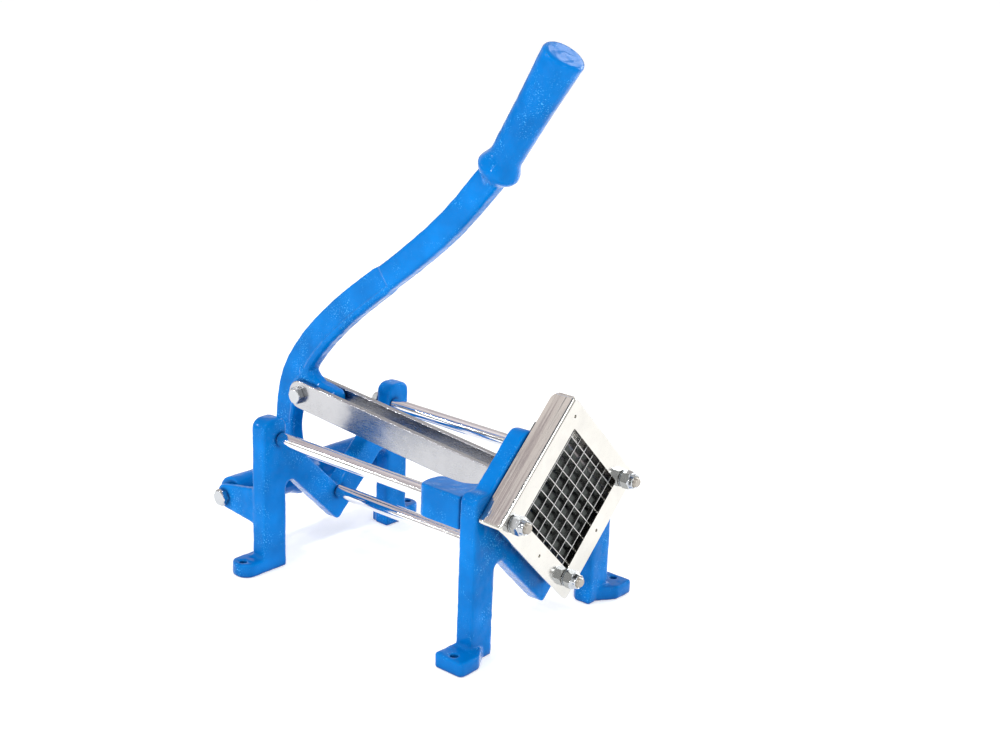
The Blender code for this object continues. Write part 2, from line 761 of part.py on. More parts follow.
def grip(paint):
    """The collar's bulge, which starts inside the arm, the neck, and the grip that swells to its flat end."""
    half = COLLAR_LENGTH / 2
    end = half + GRIP_LENGTH
    profile = []
    for step in range(9):
        share = step / 4 - 1
        foot = ARM_NECK_WIDTH / 2 - ARM_EDGE if share < 0 else GRIP_START_RADIUS
        bulge = (COLLAR_RADIUS - foot) * math.cos(share * math.pi / 2) ** 2
        profile.append((foot + bulge, half * share))
    profile.append((GRIP_MIDDLE_RADIUS, half + GRIP_LENGTH / 2))
    profile.append((GRIP_END_RADIUS, end - GRIP_END_ROUND))
    for angle in (math.radians(45), math.radians(90)):
        inset = GRIP_END_ROUND * (1 - math.cos(angle))
        profile.append((GRIP_END_RADIUS - inset, end - GRIP_END_ROUND * (1 - math.sin(angle))))
    direction = (math.cos(GRIP_PITCH), 0, math.sin(GRIP_PITCH))
    return turned("grip", [(round_section(r), h) for r, h in profile], COLLAR, direction, paint=paint)


def lever(paint):
    """The arm with its panel sunk into the near face, and then all that stands proud of it."""
    path = arm_path()
    outline = arm_outline(path, 0, 1, arm_half_width, arm_half_width)
    piece = prism("lever", outline, "Y", -ARM_FACE, ARM_FACE, ARM_EDGE, paint)
    cut(piece, panel(path))
    web = [(CRANK + Vector((run, 0, rise)) * CRANK_RISE).xz for run, rise in CRANK_WEB_SHARES]
    web_outline = rounded([(*point, CRANK_WEB_ROUND) for point in web])
    web_face = ARM_FACE - FIT_GAP
    join(piece, prism("web", web_outline, "Y", -web_face, web_face, ARM_EDGE, edge_steps=1))
    near_half = [(round_section(r), -h) for r, h in hub_profile()]
    far_half = [(section, -h) for section, h in reversed(near_half)]
    hub = turned("hub", near_half + far_half, PIVOT, (0, 1, 0))
    face = Vector((0, BOSS_FACE, 0))
    boss = rod("boss", CRANK_BOSS_RADIUS, CRANK - face, CRANK + face, HUB_END_EDGE)
    join(piece, hub, boss, grip(paint))
    pivot_bore = through(STUD_HOLE_RADIUS, (PIVOT.x, PIVOT.z), "Y", -HUB_END, HUB_END)
    crank_bore = through(STUD_HOLE_RADIUS, (CRANK.x, CRANK.z), "Y", -BOSS_FACE, BOSS_FACE)
    cut(piece, pivot_bore, crank_bore)
    return piece


def panel(path):
    """A cutter for the shallow panel: open at the arm's rear edge, with a ridge left ahead of it."""
    outline = arm_outline(
        path,
        PANEL_ROOT_SHARE,
        PANEL_END_SHARE + PANEL_STEP_SHARE,
        lambda share: arm_half_width(share) + OVERRUN,
        lambda share: PANEL_RIDGE_OFFSET,
    )
    return prism("panel", outline, "Y", -ARM_FACE - OVERRUN, PANEL_DEPTH - ARM_FACE)


# Links and their pins


def bar_outline(start, end, width):
    """A flat bar's side view, round about both ends."""
    along = (end - start).normalized() * width / 2
    across = Vector((-along.z, 0, along.x))
    corners = (start - along - across, end + along - across, end + along + across, start - along + across)
    return rounded([(corner.x, corner.z, width / 2) for corner in corners])


def link(which, side, paint):
    low, high = sorted((side * LINK_INNER, side * LINK_OUTER))
    outline = bar_outline(CRANK, LINK_FRONT, LINK_WIDTH)
    piece = prism(f"link_{which}", outline, "Y", low, high, LINK_EDGE, paint, edge_steps=1)
    cut(piece, *(through(STUD_HOLE_RADIUS, (end.x, end.z), "Y", low, high) for end in (CRANK, LINK_FRONT)))
    return piece


def link_pin(which, side, paint):
    """A pin with a low round head on the link's outer face. It stops at the carriage's lug."""
    dome = PIN_HEAD_HEIGHT / 2
    profile = [
        (round_section(PIN_HEAD_RADIUS - dome), PIN_HEAD_HEIGHT),
        (round_section(PIN_HEAD_RADIUS), dome),
        (round_section(PIN_HEAD_RADIUS), 0),
        (round_section(STUD_RADIUS), 0),
        (round_section(STUD_RADIUS), LUG_THICKNESS / 2 - LINK_OUTER),
    ]
    under_head = LINK_FRONT + Vector((0, side * (LINK_OUTER + FIT_GAP), 0))
    return turned(f"link_pin_{which}", profile, under_head, (0, side, 0), HEX_STEPS, paint)


# Pusher


def carriage(paint):
    """Slide bosses on the two side rods, the plate between them, and the lug for the links."""
    back_x = CARRIAGE_FRONT_X - CARRIAGE_LENGTH
    plan = rounded(
        mirrored_plan(
            [
                (CARRIAGE_FRONT_X, 0, 0),
                (CARRIAGE_FRONT_X, CARRIAGE_BOSS_OUTER, CARRIAGE_FRONT_ROUND),
                (back_x, CARRIAGE_BOSS_OUTER, CARRIAGE_BOSS_ROUND),
                (back_x, CARRIAGE_BOSS_INNER, CARRIAGE_BOSS_ROUND),
                (CARRIAGE_PLATE_X, CARRIAGE_BOSS_INNER, CARRIAGE_WEB_FILLET),
                (CARRIAGE_PLATE_X, 0, 0),
            ]
        )
    )
    piece = prism(
        "pusher_carriage", plan, "Z", CARRIAGE_BOSS_BOTTOM, CARRIAGE_BOSS_TOP, CARRIAGE_EDGE, paint
    )
    skirt_reach = WINDOW_REACH - CARRIAGE_SKIRT_CLEARANCE
    skirt_top = skirt_reach - CARRIAGE_BOSS_BELOW + OVERRUN
    hump_top = WINDOW_Z + CARRIAGE_HUMP_RISE
    hump_foot = CARRIAGE_HUMP_HALF + CARRIAGE_HUMP_FLANK
    plate = rounded(
        mirrored(
            [
                (0, WINDOW_Z - skirt_reach, CARRIAGE_HUMP_ROUND),
                (skirt_top, CARRIAGE_BOSS_BOTTOM + OVERRUN, 0),
                (skirt_top, CARRIAGE_BOSS_TOP - CARRIAGE_EDGE, 0),
                (hump_foot, CARRIAGE_BOSS_TOP - CARRIAGE_EDGE, CARRIAGE_HUMP_ROUND),
                (CARRIAGE_HUMP_HALF, hump_top, CARRIAGE_HUMP_ROUND),
                (0, hump_top, 0),
            ]
        )
    )
    lug_back = LINK_FRONT.x - LUG_RADIUS
    lug = rounded(
        [
            (lug_back, LINK_FRONT.z - LUG_RADIUS, LUG_RADIUS),
            (CARRIAGE_PLATE_X + JOIN_DEPTH, LINK_FRONT.z - LUG_RADIUS - LUG_FLARE, 0),
            (CARRIAGE_PLATE_X + JOIN_DEPTH, LINK_FRONT.z + LUG_RADIUS + LUG_FLARE, 0),
            (lug_back, LINK_FRONT.z + LUG_RADIUS, LUG_RADIUS),
        ]
    )
    low_x, high_x = CARRIAGE_PLATE_X + FIT_GAP, CARRIAGE_FRONT_X - FIT_GAP
    join(piece, prism("plate", plate, "X", low_x, high_x, CARRIAGE_EDGE))
    join(piece, prism("lug", lug, "Y", -LUG_THICKNESS / 2, LUG_THICKNESS / 2, LUG_EDGE))
    bores = [
        through(ROD_RADIUS + FIT_GAP, ROD_PLACES[which], "X", back_x, CARRIAGE_FRONT_X, ROD_STEPS)
        for which in ("near", "far")
    ]
    lug_bore = through(
        STUD_HOLE_RADIUS, (LINK_FRONT.x, LINK_FRONT.z), "Y", -LUG_THICKNESS / 2, LUG_THICKNESS / 2
    )
    screws = [
        through(HEAD_SCREW_RADIUS + FIT_GAP, (y, WINDOW_Z), "X", CARRIAGE_PLATE_X, CARRIAGE_FRONT_X)
        for y in head_screw_places()
    ]
    cut(piece, lug_bore, *bores, *screws)
    return piece


def mirrored_plan(half):
    """A whole plan from the (x, y, radius) corners at y >= 0, which start and end on the middle."""
    return half + [(x, -y, radius) for x, y, radius in reversed(half) if y > 0]


def head_screw_places():
    """The screws' y, behind the fingers that lie in the middle of each side's row."""
    reach = BLADE_PITCH * (FINGER_COUNT / 4) / math.sin(DIAMOND_TURN)
    return (-reach, reach)


def finger_edges():
    """Where the fingers start and end across the head, between its two sides."""
    first = -BLADE_PITCH * (FINGER_COUNT - 1) / 2
    edges = [-HEAD_HALF_SIDE]
    for i in range(FINGER_COUNT):
        middle = first + BLADE_PITCH * i
        edges += [middle - FINGER_SIDE / 2, middle + FINGER_SIDE / 2]
    return [*edges, HEAD_HALF_SIDE]


def pusher_head(paint):
    """A square base whose front is a grid of cells, with each finger raised from its own cell."""
    bm = bmesh.new()
    edges = finger_edges()
    front_x = HEAD_BACK_X + HEAD_BASE_THICKNESS
    grid = [[bm.verts.new((front_x, a, b)) for b in edges] for a in edges]
    cells = {}
    for i in range(len(edges) - 1):
        for j in range(len(edges) - 1):
            corners = (grid[i][j], grid[i + 1][j], grid[i + 1][j + 1], grid[i][j + 1])
            cells[i, j] = bm.faces.new(corners)
    base = bmesh.ops.extrude_face_region(bm, geom=list(cells.values()), use_keep_orig=True)
    back = [part for part in base["geom"] if isinstance(part, bmesh.types.BMVert)]
    bmesh.ops.translate(bm, verts=back, vec=(-HEAD_BASE_THICKNESS, 0, 0))
    rear_faces = [part for part in base["geom"] if isinstance(part, bmesh.types.BMFace)]
    bmesh.ops.dissolve_faces(bm, faces=rear_faces)
    shank = FINGER_TIP_X - FINGER_CHAMFER - front_x
    for (i, j), cell in cells.items():
        if i % 2 and j % 2:
            raised = raise_cell(bm, cell, shank, FINGER_DRAFT)
            raise_cell(bm, raised, FINGER_CHAMFER, FINGER_CHAMFER)
    piece = new_object("pusher_head", bm, paint)
    turn_to_diamond(piece)
    low_x = HEAD_BACK_X - OVERRUN
    high_x = HEAD_BACK_X + HEAD_SCREW_DEPTH - CARRIAGE_PLATE_THICKNESS
    radius = HEAD_SCREW_RADIUS + FIT_GAP
    for y in head_screw_places():
        cut(piece, rod("hole", radius, (low_x, y, WINDOW_Z), (high_x, y, WINDOW_Z)))
    return piece


def raise_cell(bm, cell, height, draw_in):
    """Extrudes one face forward and draws its sides in, and returns the new face."""
    raised = bmesh.ops.extrude_discrete_faces(bm, faces=[cell])["faces"][0]
    middle = raised.calc_center_median()
    for vert in raised.verts:
        out = vert.co - middle
        share = 1 - draw_in * 2 / FINGER_SIDE
        vert.co = middle + out * share + Vector((height, 0, 0))
    return raised


def head_screw(which, y, paint):
    """A pan head screw from the carriage's rear face into the head."""
    head, shank = round_section(SCREW_HEAD_RADIUS), round_section(HEAD_SCREW_RADIUS)
    rim = round_section(SCREW_HEAD_RADIUS - SCREW_HEAD_HEIGHT / 3)
    profile = [
        (rim, -SCREW_HEAD_HEIGHT),
        (head, -SCREW_HEAD_HEIGHT / 2),
        (head, 0),
        (shank, 0),
        (shank, HEAD_SCREW_DEPTH),
    ]
    under_head = Vector((CARRIAGE_PLATE_X - FIT_GAP, y, WINDOW_Z))
    return turned(f"pusher_screw_{which}", profile, under_head, (1, 0, 0), HEX_STEPS, paint)


# Blades, made square and then stood on a corner


def blade_offsets():
    return [BLADE_PITCH * (i - (BLADE_COUNT - 1) / 2) for i in range(BLADE_COUNT)]


def boxes(name, spans):
    """Several separate boxes in one mesh, each given as its low and high corner."""
    bm = bmesh.new()
    for low, high in spans:
        made = bmesh.ops.create_cube(bm, size=1)["verts"]
        size = Vector(high) - Vector(low)
        bmesh.ops.scale(bm, verts=made, vec=size)
        bmesh.ops.translate(bm, verts=made, vec=(Vector(high) + Vector(low)) / 2)
    return new_object(name, bm)


def blade_mesh(name, notch_low, notch_high, paint):
    """One strip along z, ground to an edge at its back, with a notch for each strip that crosses it."""
    half = BLADE_THICKNESS / 2
    ground_x = BLADE_BACK_X + BLADE_GROUND_DEPTH
    section = [
        (BLADE_FRONT_X, -half),
        (BLADE_FRONT_X, half),
        (ground_x, half),
        (BLADE_BACK_X, 0),
        (ground_x, -half),
    ]
    outline = [Vector(point) for point in section]
    piece = prism(name, outline, "Z", -BLADE_HALF_LENGTH, BLADE_HALF_LENGTH, paint=paint)
    reach = half + OVERRUN
    notch = half + FIT_GAP
    spans = [((notch_low, -reach, o - notch), (notch_high, reach, o + notch)) for o in blade_offsets()]
    cut(piece, boxes("notches", spans))
    return piece


def blades(paint):
    """Two sets of strips that cross, each notched half way where it meets the other set."""
    middle_x = (BLADE_FRONT_X + BLADE_BACK_X) / 2
    upright = blade_mesh("blade_a_1", middle_x - FIT_GAP / 2, BLADE_FRONT_X + OVERRUN, paint)
    level = blade_mesh("blade_b_1", BLADE_BACK_X - OVERRUN, middle_x + FIT_GAP / 2, paint)
    level.data.transform(Matrix.Rotation(math.radians(90), 4, "X"))
    made = []
    for first, across in ((upright, Vector((0, 1, 0))), (level, Vector((0, 0, 1)))):
        turn_to_diamond(first)
        across = Matrix.Rotation(DIAMOND_TURN, 3, "X") @ across
        stem = first.name[:-1]
        for i, offset in enumerate(blade_offsets()):
            copy = first if i == 0 else bpy.data.objects.new(f"{stem}{i + 1}", first.data)
            if i:
                bpy.context.scene.collection.objects.link(copy)
            copy.location = across * offset
            made.append(copy)
    return made


def blade_frame(paint):
    """The square ring that holds the strips' ends in slots, with holes for the three studs."""
    outer = BLADE_FRAME_OPENING + BLADE_FRAME_WALL
    piece = prism(
        "blade_frame",
        box_outline(-outer, outer, -outer, outer, PLATE_CORNER_ROUND),
        "X",
        FRAME_BACK_X,
        FRAME_FRONT_X,
        BLADE_FRAME_EDGE,
        paint,
        edge_steps=1,
    )
    opening = BLADE_FRAME_OPENING
    window = prism(
        "window",
        box_outline(-opening, opening, -opening, opening),
        "X",
        FRAME_BACK_X - OVERRUN,
        FRAME_FRONT_X + OVERRUN,
    )
    cut(piece, window)
    end = BLADE_HALF_LENGTH + FIT_GAP
    half = BLADE_THICKNESS / 2 + FIT_GAP
    low_x, high_x = BLADE_BACK_X - FIT_GAP, FRAME_FRONT_X + OVERRUN
    upright = [((low_x, o - half, -end), (high_x, o + half, end)) for o in blade_offsets()]
    level = [((low_x, -end, o - half), (high_x, end, o + half)) for o in blade_offsets()]
    cut(piece, boxes("slots", upright))
    cut(piece, boxes("slots", level))
    cut(piece, *(square_hole(STUD_HOLE_RADIUS, a, b, FRAME_BACK_X, FRAME_FRONT_X) for a, b in stud_corners()))
    turn_to_diamond(piece)
    return piece


def stud_corners():
    """The three studs' places in the square that stands on its corner: near, far and bottom."""
    side, low = STUD_CORNER, BOTTOM_STUD_CORNER
    return [(-side, side), (side, -side), (-low, -low)]


def square_hole(radius, a, b, low_x, high_x):
    """A round cutter in the square's own coordinates, before it is stood on its corner."""
    return rod("hole", radius, (low_x - OVERRUN, a, b), (high_x + OVERRUN, a, b), steps=HEX_STEPS)


def blade_holder(paint):
    """The folded plate: a square front with a square opening, and flanges on its two upper sides."""
    half = PLATE_HALF_SIDE
    back_x = PLATE_FRONT_X - PLATE_FLANGE_DEPTH
    outline = rounded(
        [
            (-half, -half, PLATE_CORNER_ROUND),
            (half, -half, PLATE_CORNER_ROUND),
            (half, half, PLATE_TOP_ROUND),
            (-half, half, PLATE_CORNER_ROUND),
        ]
    )
    piece = prism("blade_holder", outline, "X", back_x, PLATE_FRONT_X, paint=paint)
    bend_upper_edges(piece)
    inner, past = half - PLATE_SHEET, half + OVERRUN
    hollow = rounded(
        [
            (-past, -past, 0),
            (inner, -past, 0),
            (inner, inner, PLATE_TOP_ROUND - PLATE_SHEET),
            (-past, inner, 0),
        ]
    )
    reach = PLATE_OPENING
    opening = box_outline(-reach, reach, -reach, reach, PLATE_OPENING_ROUND)
    cut(piece, prism("hollow", hollow, "X", back_x - OVERRUN, PLATE_BACK_X))
    cut(piece, prism("opening", opening, "X", PLATE_BACK_X - OVERRUN, PLATE_FRONT_X + OVERRUN))
    cut(piece, flange_corner(back_x))
    small = (PLATE_OPENING + half) / 2
    marks = [(STUD_CORNER, STUD_CORNER), (-small, 0), (0, -small)]
    cut(
        piece,
        *(square_hole(STUD_HOLE_RADIUS, a, b, PLATE_BACK_X, PLATE_FRONT_X) for a, b in stud_corners()),
        *(square_hole(PLATE_HOLE_RADIUS, a, b, PLATE_BACK_X, PLATE_FRONT_X) for a, b in marks),
    )
    turn_to_diamond(piece)
    return piece


def flange_corner(back_x):
    """A cutter that rounds both flanges' rear corners where they meet at the top."""
    past = PLATE_HALF_SIDE + OVERRUN
    swing = PLATE_FLANGE_ROUND + FIT_GAP
    rings = []
    for step in range(7):
        angle = math.radians(90) * step / 6
        x = back_x + PLATE_FLANGE_ROUND - swing * math.cos(angle)
        least = PLATE_HALF_SIDE - PLATE_FLANGE_ROUND + swing * math.sin(angle)
        rings.append([(x, least, least), (x, past, least), (x, past, past), (x, least, past)])
    return skinned("flange_corner", rings)


def bend_upper_edges(piece):
    """Rounds the front rim along the two sides that are folded back."""
    bm = bmesh.new()
    bm.from_mesh(piece.data)
    least = PLATE_HALF_SIDE - PLATE_TOP_ROUND
    rims = [
        edge
        for edge in bm.edges
        if is_rim(edge, "X", PLATE_FRONT_X, PLATE_FRONT_X)
        and max(sum((v.co for v in edge.verts), Vector()).yz / 2) > least
    ]
    bmesh.ops.bevel(
        bm, geom=rims, offset=PLATE_BEND, segments=3, profile=0.5, affect="EDGES", clamp_overlap=False
    )
    bm.to_mesh(piece.data)
    bm.free()


# Assembly


def body(name, place, parent=None):
    """An empty for each body that moves as one, on the axis that it moves about."""
    empty = bpy.data.objects.new(name, None)
    empty.empty_display_size = ROD_REACH
    empty.parent = parent
    empty.location = place - Vector(parent["place"]) if parent else place
    empty["place"] = place
    bpy.context.scene.collection.objects.link(empty)
    return empty


def carry(parent, *pieces):
    """Parents pieces to a body's empty, with their origins on the empty's own place."""
    place = Vector(parent["place"])
    for piece in pieces:
        if piece.data.users == 1:
            piece.data.transform(Matrix.Translation(-place))
        else:
            piece.location -= place
        piece.parent = parent


def shade(pieces):
    for piece in pieces:
        piece.data.shade_smooth()
        piece.data.set_sharp_from_angle(angle=SHARP_ANGLE)


def main():
    clear_scene()
    paints = make_materials()
    blue, chrome, zinc = paints["blue_enamel"], paints["chrome"], paints["zinc"]
    stainless, grey = paints["stainless"], paints["grey_head"]
    origin = Vector((0, 0, 0))

    frame = body("cutter", origin)
    lever_body = body("lever_pivot", PIVOT, frame)
    link_body = body("link_pivot", CRANK, lever_body)
    pusher = body("pusher_slide", LINK_FRONT, frame)

    carry(frame, rear_frame(blue), front_frame(blue))
    for which, (y, z) in ROD_PLACES.items():
        carry(
            frame,
            guide_rod(which, chrome),
            lock_nut(f"front_nut_{which}", Vector((FRONT_NUT_X, y, z)), (1, 0, 0), zinc),
            hex_nut(f"rear_nut_{which}", Vector((REAR_NUT_X, y, z)), (-1, 0, 0), zinc),
        )
    carry(frame, *crosswise_bolt("pivot", PIVOT, EAR_OUTER, zinc))
    carry(frame, blade_frame(stainless), blade_holder(stainless), *blades(stainless))

    carry(lever_body, lever(blue), *crosswise_bolt("link", CRANK, LINK_OUTER, zinc))
    for which, side in (("near", -1), ("far", 1)):
        carry(link_body, link(which, side, chrome), link_pin(which, side, zinc))

    carry(pusher, carriage(blue), pusher_head(grey))
    for which, y in zip(("near", "far"), head_screw_places()):
        carry(pusher, head_screw(which, y, zinc))

    pieces = [thing for thing in bpy.context.scene.objects if thing.type == "MESH"]
    shade(pieces)
    bpy.context.view_layer.update()
    reach = [(piece.matrix_world @ Vector(corner)).x for piece in pieces for corner in piece.bound_box]
    frame.location.x = -(min(reach) + max(reach)) / 2


main()
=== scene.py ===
import math

import bmesh
import bpy
from mathutils import Matrix, Vector

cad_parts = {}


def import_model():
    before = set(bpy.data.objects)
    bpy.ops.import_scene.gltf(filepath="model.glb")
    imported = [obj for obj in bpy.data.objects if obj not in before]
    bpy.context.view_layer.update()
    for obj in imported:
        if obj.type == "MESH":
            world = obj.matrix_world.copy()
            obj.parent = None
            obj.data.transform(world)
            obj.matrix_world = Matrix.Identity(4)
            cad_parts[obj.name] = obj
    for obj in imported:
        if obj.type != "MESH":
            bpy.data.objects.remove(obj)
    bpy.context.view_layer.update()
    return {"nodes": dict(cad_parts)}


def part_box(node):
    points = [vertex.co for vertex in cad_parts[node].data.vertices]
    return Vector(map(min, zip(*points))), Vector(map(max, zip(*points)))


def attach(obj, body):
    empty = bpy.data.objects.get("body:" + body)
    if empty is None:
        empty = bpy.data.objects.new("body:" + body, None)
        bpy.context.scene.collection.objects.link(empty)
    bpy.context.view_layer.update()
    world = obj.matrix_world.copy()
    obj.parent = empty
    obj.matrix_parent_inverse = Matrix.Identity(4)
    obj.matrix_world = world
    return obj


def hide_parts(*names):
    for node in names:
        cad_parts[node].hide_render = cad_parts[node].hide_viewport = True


# Camera, as fitted to the photograph
CAMERA_PLACE = Vector((0.826817, -0.8846, 0.5548))
CAMERA_AZIMUTH = math.radians(40.06)
CAMERA_ELEVATION = math.radians(17.07)
CAMERA_ROLL = math.radians(2.24)
CAMERA_LENS = 55.83
SENSOR_WIDTH = 36.0

# Stage
FLOOR_HALF = 40.0
FLOOR_COLOR = (0.78, 0.78, 0.775)
FLOOR_ROUGHNESS = 0.7
FLOOR_GLOW = 0.43
SKY_STRENGTH = 0.86
LIGHT_AIM = Vector((0, 0, 0.15))
# Each light's name, place, width and power
LIGHTS = (
    ("key", (-0.7, -1.5, 1.9), 0.24, 22.0),
    ("fill", (1.9, -0.5, 1.3), 0.9, 9.0),
    ("flash", (0.40, -1.9, 0.75), 0.12, 9.0),
    ("glint_high", (1.1, -1.3, 2.1), 0.10, 7.0),
    ("glint_left", (-1.5, -1.5, 0.9), 0.10, 5.0),
    ("rim", (0.1, 1.9, 1.6), 1.0, 6.0),
)
# The sky as (height of the direction, colour): streaks behind the cutter, and a plain room in front of it
BEHIND_EDGE = (-0.25, -0.45)
STREAKS = (
    (0.000, (0.30, 0.27, 0.27)),
    (0.040, (0.20, 0.18, 0.19)),
    (0.080, (0.55, 0.50, 0.49)),
    (0.160, (1.02, 1.00, 0.98)),
    (0.290, (1.05, 1.05, 1.05)),
    (0.330, (0.36, 0.27, 0.22)),
    (0.380, (0.95, 0.90, 0.85)),
    (0.470, (1.05, 1.05, 1.05)),
    (0.520, (0.12, 0.12, 0.14)),
    (0.570, (0.60, 0.52, 0.54)),
    (0.640, (1.05, 0.96, 0.96)),
    (0.690, (0.50, 0.43, 0.47)),
    (0.780, (1.15, 1.06, 1.05)),
    (0.880, (1.10, 1.08, 1.07)),
    (1.000, (1.10, 1.10, 1.10)),
)
PLAIN = (
    (0.000, (0.70, 0.69, 0.68)),
    (0.060, (0.45, 0.45, 0.46)),
    (0.200, (0.70, 0.70, 0.70)),
    (1.000, (0.90, 0.90, 0.90)),
)
# Round cards that hang in the sky: a dark one over the cutter and a bright one behind it
CARD_AIM = Vector((-0.05, -0.45, 0.87))
CARD_EDGE = (0.885, 0.925)
CARD_COLOR = (0.15, 0.16, 0.20, 1)
BRIGHT_AIM = Vector((0.38, 0.92, 0.10))
BRIGHT_EDGE = (0.91, 0.95)
BRIGHT_COLOR = (8.0, 8.2, 8.6, 1)

# Materials. A noise is (scale, detail, roughness), a bump (distance, strength), and a range (low, high)
MIDDLE_RANGE = (0.3, 0.7)
EDGE_BEND = (0.99, 0.80)
EDGE_SAMPLES = 4

# Blue enamel
PEEL_NOISE = (520.0, 2.0, 0.5)
PEEL_BUMP = (0.00005, 0.6)
LUMP_NOISE = (150.0, 2.0, 0.5)
LUMP_BUMP = (0.00025, 0.5)
GRIT_NOISE = (850.0, 1.0, 0.4)
GRIT_BUMP = (0.0004, 0.7)
ROUGH_NOISE = (48.0, 2.0, 0.6)
ROUGH_RANGE = (0.48, 0.66)
THICKNESS_NOISE = (30.0, 3.0, 0.5)
THICKNESS_RANGE = (0.35, 0.7)
THIN_PAINT = (0.0, 0.128, 0.43, 1)
THICK_PAINT = (0.0, 0.180, 0.58, 1)
# Lighter blue along the edges: a painted highlight
PAINTED_EDGE_HIGHLIGHT = (0.0, 0.25, 0.72, 1)
# Dark blue for the hollows: painted shade
PAINTED_HOLLOW_SHADE = (0.0, 0.050, 0.22, 1)
# Light azure specks in the rough patches: painted highlights
PAINTED_SPARKLE = (0.10, 0.50, 0.92, 1)
SPARKLE_RANGE = (0.61, 0.69)
SPARKLE_SHARE = 0.55
EDGE_HIGHLIGHT_RADIUS = 0.0022
EDGE_HIGHLIGHT_SHARE = 0.6
# Hollows darkened with painted shade: their reach, where the painted shade starts and where it is full, and
# its strength
PAINTED_SHADE_HOLLOWS = (
    (0.014, 0.85, 0.35, 0.85),
    (0.004, 0.90, 0.55, 0.60),
)
PAINTED_SHADE_SAMPLES = 6
PAINT_ROUGHNESS = (0.30, 0.42)
# The clear coat shows most where the surface turns away
COAT_FACING = (0.40, 0.72)
COAT_WEIGHT = (0.20, 1.0)
COAT_ROUGHNESS = 0.13
COAT_IOR = 1.5

# Dark coating of the pusher head, and the insert of a lock nut
PATCH_RANGE = (0.35, 0.7)
HEAD_GRIT_NOISE = (1500.0, 3.0, 0.65)
HEAD_GRIT_BUMP = (0.00015, 0.7)
HEAD_PATCH_NOISE = (240.0, 2.0, 0.5)
# Lighter colours for the finger ends that face +X: a painted highlight
HEAD_TIP_HIGHLIGHT_RANGE = (0.8, 0.95)
HEAD_ROUGHNESS = (0.34, 0.6)
HEAD_COLORS = ((0.035, 0.042, 0.044, 1), (0.07, 0.08, 0.08, 1))
HEAD_TIP_HIGHLIGHT_COLORS = ((0.20, 0.23, 0.225, 1), (0.34, 0.37, 0.36, 1))
# Lighter grey along the head's sharp edges: a painted highlight
HEAD_EDGE_HIGHLIGHT_COLOR = (0.24, 0.26, 0.26, 1)
HEAD_EDGE_HIGHLIGHT_RADIUS = 0.0008
HEAD_EDGE_HIGHLIGHT_SHARE = 0.55
INSERT_NOISE = (900.0, 2.0, 0.5)
INSERT_COLORS = ((0.30, 0.27, 0.20, 1), (0.42, 0.38, 0.30, 1))
INSERT_ROUGHNESS = 0.4

# Bare metals: the material's name, its tint, its roughness and how far that spreads, the scale of its
# grinding marks along each axis and their depth, the detail of its smudges, and the scale of its waves
METALS = {
    "chrome": ("chrome_bright", (0.83, 0.83, 0.84), 0.045, 0.05, (60, 1800, 1800), 0.00004, 3.0, None),
    "link": ("steel_bar", (0.46, 0.463, 0.48), 0.15, 0.12, (90, 900, 1400), 0.00008, 5.0, (12, 60, 60)),
    "sheet": ("steel_sheet", (0.70, 0.685, 0.64), 0.07, 0.06, (600, 240, 240), 0.00005, 4.0, (150, 7, 7)),
    "blade": ("steel_blade", (0.58, 0.58, 0.57), 0.12, 0.10, (900, 500, 500), 0.00004, 3.0, None),
    "zinc": ("zinc_plate", (0.50, 0.52, 0.54), 0.06, 0.10, (900, 900, 900), 0.00005, 4.0, None),
    "thread": ("thread_steel", (0.40, 0.37, 0.33), 0.22, 0.20, (900, 900, 900), 0.00006, 4.0, None),
}
MARK_NOISE = (1.0, 3.0, 0.6)
MARK_STRENGTH = 0.5
WAVE_NOISE = (1.0, 2.0, 0.5)
WAVE_BUMP = (0.0006, 1.0)
SMUDGE_SCALE = 38.0
SMUDGE_NOISE_ROUGHNESS = 0.6
SMUDGE_COLOR_RANGE = (0.4, 0.75)
SMUDGE_GLOSS_RANGE = (0.35, 0.75)
DULL_SHARE = 0.5
DULL_TINT = 0.8

# Casting surfaces
CASTINGS = ("rear_frame", "front_frame", "lever", "pusher_carriage")
CASTING_VOXEL = 0.0011
CASTING_SMOOTH = 0.5
CASTING_SMOOTH_STEPS = 5
LUMP_SIZE = 0.0075
LUMP_HEIGHT = 0.0006
LUMP_MIDDLE = 0.85
LEVER_VOXEL = 0.00085
LEVER_SMOOTH_STEPS = 4
LEVER_LUMP_HEIGHT = 0.0005

# Steel pieces
WELD_REACH = 0.00001
SMALL_BEVEL = 0.0004
LINK_BEVEL = 0.0009
FINGER_BEVEL = 0.0007
BEVEL_STEPS = 3
SHARP_ANGLE = math.radians(38)

# Screw threads, nuts and rods, all M8 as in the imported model
LATHE_STEPS = 72
THREAD_PITCH = 0.00125
THREAD_TOP = 0.00396
THREAD_ROOT = 0.00322
THREAD_RINGS = 8
HEX_FLATS = 0.013
HEX_FACE_SHARE = 0.93
CONE_SLOPE = 1.7
CONE_STEPS = 5
NUT_BORE = 0.0042
BASE_RADIUS = 0.0072
BASE_HEIGHT = 0.0008
LOCK_HEX_TOP = 0.0088
COLLAR_RADIUS = 0.0058
COLLAR_LIP = 0.0047
INSERT_DEPTH = 0.0007
BOLT_HEAD_HEIGHT = 0.0055
BAR_START = 0.0259
BAR_END = 0.2421
BAR_CHAMFER = 0.0009
THREAD_SHOWN = 0.006
STUD_CHAMFER = 0.0008

NODE_COLUMN = 220


def set_socket(tree, node, name, value):
    """Gives a node's input, by name or number, a value or a link from another node's output."""
    if isinstance(value, bpy.types.NodeSocket):
        tree.links.new(value, node.inputs[name])
    else:
        node.inputs[name].default_value = value


